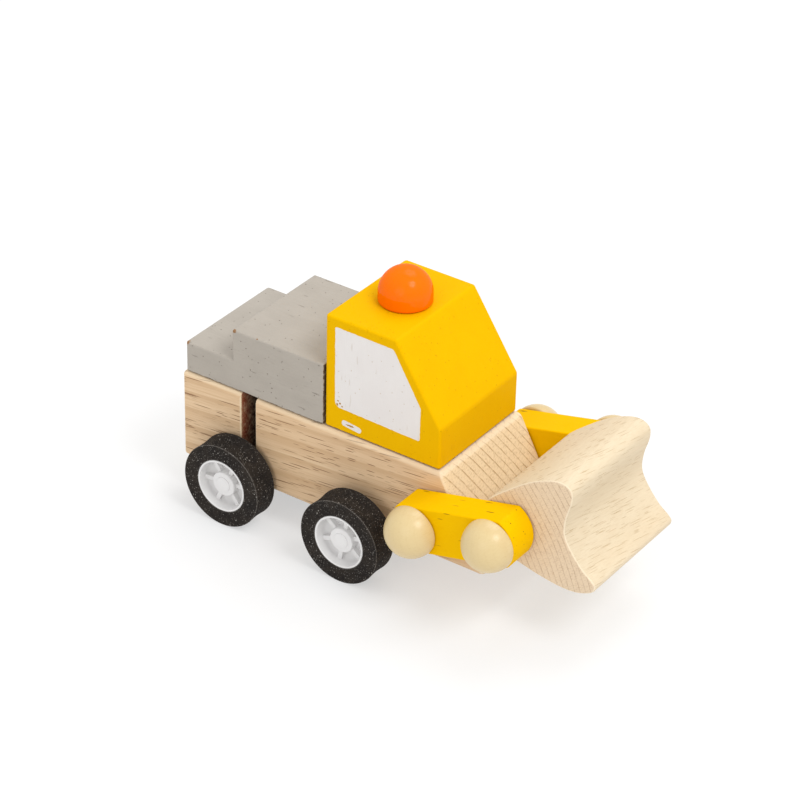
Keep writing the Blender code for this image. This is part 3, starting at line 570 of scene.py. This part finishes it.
GREY = paint("grey_block_paint", (0.412, 0.374, 0.325), (0.356, 0.321, 0.277), roughness=0.62,
             seed=2.0, pores=0.35, pinholes=0.75, under=(0.085, 0.055, 0.035), chips=0.66,
             chip_colour=(0.27, 0.145, 0.065), relief=0.10, foot=BLOCK_BOTTOM,
             butt=ENGINE_HIGH.x,
             spots=[((15.3, -16.8, 50.7), (0.9, 0.8, 0.5)), ((0.8, -16.7, 42.2), (0.7, 0.9, 0.5)),
                    ((22.5, -16.9, 51.0), (0.35, 0.4, 0.2))])
YELLOW = paint("yellow_cab_paint", (0.775, 0.434, 0.0), (0.745, 0.396, 0.0), along=(0, 0, 1),
               roughness=0.58, specular=0.02, seed=5.0, pores=0.10, pinholes=0.25,
               under=(0.20, 0.08, 0.01), chips=0.66, chip_colour=(0.33, 0.14, 0.03),
               foot=BLOCK_BOTTOM, butt=CAB_REAR)
YELLOW_ARM = paint("yellow_arm_paint", (0.83, 0.480, 0.0), (0.80, 0.440, 0.0), along=ARM_GRAIN,
                   roughness=0.58, specular=0.02, seed=11.0, pores=0.95, pore_cover=0.41,
                   under=(0.14, 0.05, 0.01))
ORANGE = paint("orange_gloss", (0.90, 0.160, 0.0), (0.87, 0.140, 0.0), along=(0, 0, 1),
               roughness=0.38, specular=0.0, seed=8.0, coat=0.22, relief=0.012)
PRINT_WHITE = paint("window_print", (0.74, 0.71, 0.69), (0.70, 0.66, 0.64), along=(0, 0, 1),
                    roughness=0.6, specular=0.1, seed=9.0, pores=0.25, pinholes=0.6,
                    under=(0.50, 0.36, 0.20), chip_colour=(0.40, 0.20, 0.03),
                    spots=[((46.7, PRINT_Y, 42.5), (0.35, 0.5, 0.22)),
                           ((47.3, PRINT_Y, 41.9), (0.30, 0.5, 0.30)),
                           ((46.5, PRINT_Y, 41.4), (0.28, 0.5, 0.40)),
                           ((47.9, PRINT_Y, 41.3), (0.25, 0.5, 0.18)),
                           ((50.3, PRINT_Y, 36.7), (1.25, 0.5, 0.25))])
FOAM = foam()
WHITE_PLASTIC = moulded("white_hub_plastic", (0.73, 0.72, 0.715), (0.70, 0.69, 0.68), 0.38)
DARK_PLASTIC = moulded("dark_case_plastic", (0.035, 0.035, 0.038), (0.05, 0.05, 0.052), 0.45)
GEAR_PLASTIC = moulded("gear_nylon", (0.72, 0.71, 0.66), (0.68, 0.67, 0.62), 0.42)
STEEL = steel()

# ---------------------------------------------------------------- chassis block
CHASSIS_TOP_LENGTH = 77.4
CHASSIS_ROUND = 1.5
CHASSIS_REAR_ROUND = 0.5
SLOT_MOUTH_ROUND = 0.45
POCKET_X = (12.3, 42.7)
POCKET_HALF_W = 10.9
POCKET_TOP = 27.2
SLOT_FOOT = (16.4, 14.5)
GROOVE_HALF_W = 1.5
GROOVE_TOP = 12.63
PEG_HOLE_R = 2.8
PEG_HOLE_DEPTH = 9.3


def peg_holes(bm, face, x, z):
    for side in (-1, 1):
        low, high = sorted((side * (face + 1), side * (face - PEG_HOLE_DEPTH)))
        turned(bm, [(0, low), (PEG_HOLE_R, low), (PEG_HOLE_R, high), (0, high)], 40,
               centre=(x, 0, z))


def chassis():
    """Block with a sloped front, motor pocket, side slots, axle groove and peg holes."""
    half, bottom = CHASSIS_HIGH.y, CHASSIS_LOW.z
    under = bottom - 2     # cuts start below the block
    bm = bmesh.new()
    prism(bm, [(CHASSIS_LOW.x, bottom), (CHASSIS_HIGH.x, bottom),
               (at_x(CHASSIS_TOP_LENGTH), CHASSIS_TOP), (CHASSIS_LOW.x, CHASSIS_TOP)],
          -half, half)
    ob = make_object("chassis_beech", bm)
    bm = bmesh.new()
    low, high = (at_x(x) for x in POCKET_X)
    prism(bm, [(low, under), (high, under), (high, POCKET_TOP), (low, POCKET_TOP)],
          -POCKET_HALF_W, POCKET_HALF_W)
    combine(ob, bm)
    bm = bmesh.new()
    for side in (-1, 1):
        low, high = sorted((side * SLOT_INNER, side * (half + 1)))
        prism(bm, [(at_x(SLOT_FOOT[0]), under - 1), (at_x(SLOT_X[1]), under - 1),
                   (at_x(SLOT_X[1]), CHASSIS_TOP + 2), (at_x(SLOT_X[0]), CHASSIS_TOP + 2),
                   (at_x(SLOT_X[0]), SLOT_FOOT[1]), (at_x(SLOT_FOOT[0]), SLOT_FOOT[1])],
              low, high)
    low, high = FRONT_AXLE.x - GROOVE_HALF_W, FRONT_AXLE.x + GROOVE_HALF_W
    prism(bm, [(low, under), (high, under), (high, GROOVE_TOP), (low, GROOVE_TOP)],
          -half - 1, half + 1)
    peg_holes(bm, half, ARM_PIVOT.x, ARM_PIVOT.z)
    combine(ob, bm)
    weigh_chassis_edges(ob)
    bevel(ob, CHASSIS_ROUND, 5, weighted=True)
    shade(ob)
    return ob


def weigh_chassis_edges(ob):
    """Full rounding on the block's outer edges, less on the rear uprights and slot mouths."""
    weights = ob.data.attributes.new("bevel_weight_edge", "FLOAT", "EDGE")
    slot_low, slot_high = at_x(SLOT_FOOT[0]) - 0.1, at_x(SLOT_X[1]) + 0.1
    normals = {}
    for polygon in ob.data.polygons:
        for key in polygon.edge_keys:
            normals.setdefault(key, []).append(polygon.normal.copy())
    for edge in ob.data.edges:
        a, b = (ob.data.vertices[i].co / MM for i in edge.vertices)
        pair = normals[edge.key]
        if len(pair) < 2 or pair[0].angle(pair[1]) < math.radians(25):
            continue
        on_side = all(abs(abs(p.y) - CHASSIS_HIGH.y) < 0.01 for p in (a, b))
        on_top = all(abs(p.z - CHASSIS_TOP) < 0.01 for p in (a, b))
        on_bottom = all(abs(p.z - CHASSIS_LOW.z) < 0.01 for p in (a, b))
        on_rear = all(abs(p.x - CHASSIS_LOW.x) < 0.01 for p in (a, b))
        in_slot = all(slot_low < p.x < slot_high for p in (a, b))
        straight_across = abs(a.x - b.x) < 0.01
        weight = 0.0
        if in_slot:
            if (on_side or on_top) and straight_across:
                weight = SLOT_MOUTH_ROUND / CHASSIS_ROUND
        elif on_side and on_rear:
            weight = CHASSIS_REAR_ROUND / CHASSIS_ROUND
        elif on_side:
            weight = 1.0
        elif (on_top or on_bottom) and straight_across and abs(a.y - b.y) > CHASSIS_HIGH.y:
            weight = 1.0
        weights.data[edge.index].value = weight


hand_over(chassis(), "chassis", "beech", BEECH, "chassis_block")

# ---------------------------------------------------------------- engine block and cab
ENGINE_STEP = (at_x(15.0), 42.4)
ENGINE_ROUND = 0.45
ENGINE_SOFT = 0.9
CAB_ROOF_FRONT_X = 63.1
CAB_SILL = 45.2
CAB_ROUND = 0.65
CAB_SOFT = 1.0


def block(name, outline, half_width, rounding, soft, sharp=()):
    """Glued block with rounded edges.

    `soft` is an X and the larger rounding of the edges there that don't run across the block.
    The edge across it at `sharp`, an X and a height, is left as it is.
    """
    soft_x, soft_rounding = soft
    bm = bmesh.new()
    prism(bm, outline, -half_width, half_width)
    ob = make_object(name, bm)
    weights = ob.data.attributes.new("bevel_weight_edge", "FLOAT", "EDGE")
    for edge in ob.data.edges:
        a, b = (ob.data.vertices[i].co / MM for i in edge.vertices)
        radius = rounding
        if all(abs(p.x - soft_x) < 0.01 for p in (a, b)) and abs(a.y - b.y) < 0.01:
            radius = soft_rounding
        if sharp and all(abs(p.x - sharp[0]) + abs(p.z - sharp[1]) < 0.02 for p in (a, b)):
            radius = 0.0
        weights.data[edge.index].value = radius / soft_rounding
    bevel(ob, soft_rounding, weighted=True)
    shade(ob)
    return ob


engine = block("engine_painted", [(ENGINE_LOW.x, BLOCK_BOTTOM), (ENGINE_HIGH.x, BLOCK_BOTTOM),
                                  (ENGINE_HIGH.x, ENGINE_HIGH.z),
                                  (ENGINE_STEP[0], ENGINE_HIGH.z), ENGINE_STEP,
                                  (ENGINE_LOW.x, ENGINE_STEP[1])],
               ENGINE_HIGH.y, ENGINE_ROUND, soft=(ENGINE_LOW.x, ENGINE_SOFT),
               sharp=ENGINE_STEP)
hand_over(engine, "chassis", "grey_paint", GREY, "engine_block")

cab = block("cab_painted", [(CAB_REAR, BLOCK_BOTTOM), (CAB_HIGH.x, BLOCK_BOTTOM),
                            (CAB_HIGH.x, CAB_SILL), (at_x(CAB_ROOF_FRONT_X), CAB_HIGH.z),
                            (CAB_REAR, CAB_HIGH.z)], CAB_HIGH.y, CAB_ROUND,
            soft=(CAB_REAR, CAB_SOFT))
hand_over(cab, "chassis", "yellow_paint", YELLOW, "cab_block")

# Prints on the cab's sides, a window and a door handle mark
WINDOW = [(45.7, 62.8), (62.5, 62.6), (70.6, 49.2), (70.5, 40.1), (45.8, 40.7)]
WINDOW_RADII = [0.4, 1.0, 0.8, 0.5, 1.6]
HANDLE = [(47.9, 37.75), (53.6, 37.1), (53.6, 35.5), (47.9, 36.15)]
HANDLE_RADII = [0.72] * 4
PRINT_T = 0.05
PRINT_SEED = 4             # gives the stamped edges the same shape each run


def ragged(points, step=0.4, depth=0.09):
    """The same outline with the slightly uneven edge of a stamped print."""
    noise.seed_set(PRINT_SEED)
    result = []
    for start, end in zip(points, points[1:] + points[:1]):
        start, end = Vector(start), Vector(end)
        count = max(1, round((end - start).length / step))
        for i in range(count):
            point = start.lerp(end, i / count)
            shift = noise.noise_vector((1.3 * point.x, 1.3 * point.y, 0.0))
            result.append((point.x + depth * shift.x, point.y + depth * shift.y))
    return result


for side, label in ((-1, "right"), (1, "left")):
    for stem, corners, radii in (("window_print_", WINDOW, WINDOW_RADII),
                                 ("handle_print_", HANDLE, HANDLE_RADII)):
        outline = [(at_x(x), z) for x, z in ragged(rounded_outline(corners, radii))]
        face = side * CAB_HIGH.y
        bm = bmesh.new()
        prism(bm, outline, face - PRINT_T, face + PRINT_T)
        hand_over(make_object(stem + label, bm), "chassis", "white_plastic", PRINT_WHITE)

# ---------------------------------------------------------------- beacon and pegs
SHANK_R = 2.5
PEG_HEAD_R = 6.65
PEG_RIM = 0.48
PEG_SHANK = 18.3
BEACON_RIM = 2.35
BEACON_SHANK = 9.0
BEACON_SEAT = 0.15         # height of its seat above the roof
SEAT_ROUND = 0.5
SHANK_CHAMFER = (0.4, 0.5)


def dome(name, radius, rim, shank):
    """Domed head with a softened rim on a shank, along +Y; the seat is at height 0."""
    profile = [(0, -shank), (SHANK_R - SHANK_CHAMFER[0], -shank),
               (SHANK_R, SHANK_CHAMFER[1] - shank), (SHANK_R, 0)]
    profile += arc((radius - SEAT_ROUND, SEAT_ROUND), SEAT_ROUND, -90, 0, 4)
    profile += [(radius * math.cos(a), rim + radius * math.sin(a))
                for a in (math.pi / 2 * i / 20 for i in range(1, 20))]
    profile.append((0, rim + radius))
    bm = bmesh.new()
    turned(bm, profile, 72)
    return make_object(name, bm)


beacon = dome("beacon_dome", (BEACON_HIGH.x - BEACON_LOW.x) / 2, BEACON_RIM, BEACON_SHANK)
beacon.data.transform(Matrix.Rotation(math.pi / 2, 4, "X"))
settle(beacon, ((BEACON_LOW.x + BEACON_HIGH.x) / 2, (BEACON_LOW.y + BEACON_HIGH.y) / 2,
                CAB_HIGH.z + BEACON_SEAT))
shade(beacon, 50)
hand_over(beacon, "chassis", "orange_lacquer", ORANGE, "beacon")

for label, side in (("left", 1), ("right", -1)):
    for stem, pivot, body in (("arm_peg_", ARM_PIVOT, "chassis"),
                              ("blade_peg_", BLADE_PIVOT, "blade")):
        peg = dome(stem + "turned_" + label, PEG_HEAD_R, PEG_RIM, PEG_SHANK)
        settle(peg, (pivot.x, side * (ARM_HIGH.y + GLUE_LINE), pivot.z),
               yaw=math.pi if side < 0 else 0.0)
        shade(peg, 50)
        hand_over(peg, body, "peg_wood", PEG_WOOD, stem + label)

# ---------------------------------------------------------------- lift arms
ARM_T = 8.9
ARM_H = 12.2
ARM_END_R = 8.0
ARM_OVERHANG = 6.3
ARM_REACH = (BLADE_PIVOT - ARM_PIVOT).length
ARM_HOLE_R = 2.7
ARM_ROUND = 0.4


def arm(name):
    """Bar with flat top and bottom, bowed ends and a hole for each peg; rear hole at 0."""
    bow = math.degrees(math.asin(ARM_H / 2 / ARM_END_R))
    outline = arc((ARM_REACH + ARM_OVERHANG - ARM_END_R, 0), ARM_END_R, -bow, bow, 20)
    outline += arc((ARM_END_R - ARM_OVERHANG, 0), ARM_END_R, 180 - bow, 180 + bow, 20)
    bm = bmesh.new()
    prism(bm, outline, -ARM_T / 2, ARM_T / 2)
    ob = make_object(name, bm)
    bm = bmesh.new()
    for x in (0, ARM_REACH):
        turned(bm, [(0, -ARM_T), (ARM_HOLE_R, -ARM_T), (ARM_HOLE_R, ARM_T), (0, ARM_T)], 40,
               centre=(x, 0, 0))
    combine(ob, bm)
    bevel(ob, ARM_ROUND, 3)
    return ob


for label, side in (("left", 1), ("right", -1)):
    bar = arm("arm_bar_" + label)
    settle(bar, (ARM_PIVOT.x, side * (ARM_HIGH.y - ARM_T / 2), ARM_PIVOT.z), pitch=-ARM_ANGLE)
    shade(bar)
    hand_over(bar, "lift_arms", "yellow_paint", YELLOW_ARM, "lift_arm_" + label)

# ---------------------------------------------------------------- blade
# Key points of its section about the blade pivot: heel, back, top nose, hollow front, lip
BLADE_KEYS = [(-8.4, 0.0), (-6.9, 4.6), (-0.9, 10.0), (4.8, 14.1), (10.2, 16.5), (13.6, 16.7),
              (15.6, 15.2), (15.7, 12.2), (14.5, 7.6), (14.3, 3.3), (16.0, -0.3), (19.4, -4.5),
              (22.5, -7.0), (23.29, -8.4), (22.2, -10.1), (18.5, -11.6), (14.0, -11.9),
              (8.1, -11.1), (2.4, -9.8), (-3.5, -8.3), (-7.2, -4.8)]
BLADE_ROUND = 0.45
BLADE_SETBACK = 0.02       # keeps the blade's lip inside the CAD's length

bm = bmesh.new()
prism(bm, smooth_loop(BLADE_KEYS, 8), -BLADE_HIGH.y, BLADE_HIGH.y)
blade = make_object("blade_wood", bm)
bm = bmesh.new()
peg_holes(bm, BLADE_HIGH.y, 0, 0)
combine(blade, bm)
bevel(blade, BLADE_ROUND, 3, angle=50)
settle(blade, (BLADE_PIVOT.x - BLADE_SETBACK, 0.0, BLADE_PIVOT.z))
shade(blade, 40)
hand_over(blade, "blade", "pale_wood", BLADE_WOOD, "blade")

# ---------------------------------------------------------------- wheels
# Heights run outwards from the wheel's inner face
TYRE_R = 11.33
TYRE_W = 7.2
TYRE_EDGE = 0.3
TYRE_HOLLOW = 0.2
TYRE_BORE_ROUND = 0.25
TYRE_FIT = 0.06            # gap between the tyre's bore and the rim
RIM_R = 7.12
RIM_ROUND = (0.22, 0.16)   # outer and inner side of the thin lip
DISH_R = (6.6, 6.3)
DISH_FILLET = 1.3
SKIRT_R = (2.6, 5.85)
SKIRT_FILLET = (0.3, 0.4)
BACK_CHAMFER = 0.15
HUB_FLOOR = (2.9, 3.8)
HUB_BACK = -0.6
BORE = (1.25, 5.4)
BOSS = (3.3, 6.1)
BOSS_FOOT = 0.35
BOSS_ROUND = 0.3
BOSS_DISC = (2.0, 6.35)
DISC_ROUND = 0.12
RIB_HALF_W = 0.62
RIB_TOP = 5.2
RIB_ROUND = 0.22
RIB_COUNT = 6


def hub_profile():
    """Dished hub with a thin lip, a hollow back and a boss with a raised disc."""
    profile = [(0, BORE[1]), BORE, (BORE[0], HUB_BACK), (SKIRT_R[0], HUB_BACK)]
    inner, outer = SKIRT_FILLET
    profile += arc((SKIRT_R[0] + inner, HUB_FLOOR[0] - inner), inner, 180, 90, 3)
    profile += arc((SKIRT_R[1] - outer, HUB_FLOOR[0] - outer), outer, 90, 0, 3)
    profile += [(SKIRT_R[1], BACK_CHAMFER), (SKIRT_R[1] + BACK_CHAMFER, 0),
                (RIM_R - BACK_CHAMFER, 0), (RIM_R, BACK_CHAMFER)]
    outer, inner = RIM_ROUND
    profile += arc((RIM_R - outer, TYRE_W - outer), outer, 0, 90, 4)
    profile += arc((DISH_R[0] + inner, TYRE_W - inner), inner, 90, 180, 3)
    profile += arc((DISH_R[1] - DISH_FILLET, HUB_FLOOR[1] + DISH_FILLET), DISH_FILLET, 0, -90, 8)
    profile += arc((BOSS[0] + BOSS_FOOT, HUB_FLOOR[1] + BOSS_FOOT), BOSS_FOOT, -90, -180, 3)
    profile += arc((BOSS[0] - BOSS_ROUND, BOSS[1] - BOSS_ROUND), BOSS_ROUND, 0, 90, 4)
    radius, height = BOSS_DISC
    profile += arc((radius + DISC_ROUND, BOSS[1] + DISC_ROUND), DISC_ROUND, -90, -180, 2)
    profile += arc((radius - DISC_ROUND, height - DISC_ROUND), DISC_ROUND, 0, 90, 3)
    profile.append((0, height))
    return profile


def hub(name, first):
    """White hub; its ribs start at the angle `first`, in degrees."""
    bm = bmesh.new()
    turned(bm, hub_profile(), 96)
    ob = make_object(name, bm)
    start, end = BOSS[0] - 0.4, (DISH_R[1] + RIM_R) / 2
    bm = bmesh.new()
    for rib in range(RIB_COUNT):
        bar = bmesh.new()
        prism(bar, [(start, HUB_FLOOR[1] - 0.3), (end, HUB_FLOOR[1] - 0.3), (end, RIB_TOP),
                    (start, RIB_TOP)], -RIB_HALF_W, RIB_HALF_W)
        top = [edge for edge in bar.edges
               if all(v.co.z > (RIB_TOP - 0.1) * MM for v in edge.verts)
               and abs(edge.verts[0].co.x - edge.verts[1].co.x) > MM]
        bmesh.ops.bevel(bar, geom=top, offset=RIB_ROUND * MM, segments=2, profile=0.5,
                        affect="EDGES")
        # Lie the bar's height along the wheel's axis, then turn it to its own angle
        lie = Matrix(((1, 0, 0, 0), (0, 0, 1, 0), (0, -1, 0, 0), (0, 0, 0, 1)))
        angle = math.radians(first + 360 / RIB_COUNT * rib)
        bar.transform(Matrix.Rotation(-angle, 4, "Y") @ lie)
        piece = bpy.data.meshes.new("rib")
        bar.to_mesh(piece)
        bar.free()
        bm.from_mesh(piece)
        bpy.data.meshes.remove(piece)
    combine(ob, bm, "UNION")
    return ob


def tyre(name):
    """Foam ring with small edge rounds and a slightly hollow tread."""
    bore, turn = RIM_R + TYRE_FIT, TYRE_BORE_ROUND
    profile = [(bore, turn), (bore, TYRE_W - turn)]
    profile += arc((bore + turn, TYRE_W - turn), turn, 180, 90, 3)
    profile += arc((TYRE_R - TYRE_EDGE, TYRE_W - TYRE_EDGE), TYRE_EDGE, 90, 0, 4)
    span = TYRE_W - 2 * TYRE_EDGE
    for i in range(1, 12):
        share = i / 12
        profile.append((TYRE_R - TYRE_HOLLOW * math.sin(math.pi * share),
                        TYRE_W - TYRE_EDGE - share * span))
    profile += arc((TYRE_R - TYRE_EDGE, TYRE_EDGE), TYRE_EDGE, 0, -90, 4)
    profile += arc((bore + turn, turn), turn, -90, -180, 3)[:-1]
    bm = bmesh.new()
    turned(bm, profile, 128, closed=True)
    return make_object(name, bm)


for end, axle, rib_turn in (("rear", REAR_AXLE, 125.0), ("front", FRONT_AXLE, 140.0)):
    for label, side in (("left", 1), ("right", -1)):
        tyre_low, tyre_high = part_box("_".join((end, "tyre", label)))
        inner_face = (tyre_low.y if side > 0 else tyre_high.y) / MM
        # Turned half round about Z, the right-hand hub's angles run the other way
        first = rib_turn if side > 0 else 180 - rib_turn
        wheel = ((hub("_".join((end, "wheel_hub", label)), first), "hub", "white_plastic",
                  WHITE_PLASTIC),
                 (tyre("_".join((end, "wheel_tyre", label))), "tyre", "black_foam", FOAM))
        for piece, stem, slot, material in wheel:
            settle(piece, (axle.x, inner_face, axle.z), yaw=math.pi if side < 0 else 0.0)
            shade(piece, 38)
            hand_over(piece, end + "_wheels", slot, material, "_".join((end, stem, label)))

# ---------------------------------------------------------------- carried-over CAD pieces
INNER_PIECES = {"motor_case": DARK_PLASTIC, "motor_cover": DARK_PLASTIC,
                "axle_keeper": DARK_PLASTIC, "drum_gear": GEAR_PLASTIC,
                "idler_gear": GEAR_PLASTIC, "axle_pinion": GEAR_PLASTIC, "mainspring": STEEL,
                "rear_axle": STEEL, "front_axle": STEEL, "motor_screw_rear": STEEL,
                "motor_screw_front": STEEL, "keeper_screw_rear": STEEL,
                "keeper_screw_front": STEEL}
for node, material in INNER_PIECES.items():
    materials = frame["nodes"][node].data.materials
    materials.clear()
    materials.append(material)

# ---------------------------------------------------------------- stage, light and camera
FLOOR_R = 4000
WORLD_STRENGTH = 0.85
LENS = 139.7
CAMERA_PLACE = (0.35258, -0.52801, 0.43964)
CAMERA_TURN = (57.765, -1.170, 35.013)
bm = bmesh.new()
bmesh.ops.create_circle(bm, cap_ends=True, segments=64, radius=FLOOR_R * MM)
floor = make_object("floor", bm)
floor_nodes = Nodes("floor_white")
floor.data.materials.append(floor_nodes.finish((0.40, 0.40, 0.40), 0.9, Emission_Strength=0.50,
                                               Emission_Color=(1.0, 1.0, 1.0, 1.0)))

world = bpy.data.worlds.new("studio")
world.use_nodes = True
background = world.node_tree.nodes["Background"]
background.inputs["Color"].default_value = (1.0, 1.0, 1.0, 1.0)
background.inputs["Strength"].default_value = WORLD_STRENGTH
bpy.context.scene.world = world


def area_light(name, place_at, target, size, energy):
    """Round soft light; places and size in metres, energy in watts."""
    data = bpy.data.lights.new(name, "AREA")
    data.shape = "DISK"
    data.size = size
    data.energy = energy
    ob = bpy.data.objects.new(name, data)
    ob.location = place_at
    direction = Vector(target) - Vector(place_at)
    ob.rotation_euler = direction.to_track_quat("-Z", "Y").to_euler()
    bpy.context.scene.collection.objects.link(ob)


area_light("key", (0.9, -0.15, 1.3), (0.0, 0.0, 0.02), 0.7, 9.4)
area_light("top", (-0.1, 0.75, 1.4), (0.0, 0.0, 0.0), 1.0, 6.3)
area_light("fill", (0.15, -1.2, 0.6), (0.0, 0.0, 0.02), 0.9, 2.2)

camera_data = bpy.data.cameras.new("camera")
camera_data.lens = LENS
camera_data.sensor_width = 36.0
camera_data.clip_end = 20.0
camera = bpy.data.objects.new("camera", camera_data)
camera.location = CAMERA_PLACE
camera.rotation_euler = Euler([math.radians(angle) for angle in CAMERA_TURN])
bpy.context.scene.collection.objects.link(camera)
bpy.context.scene.camera = camera
bpy.context.scene.view_settings.view_transform = "Standard"
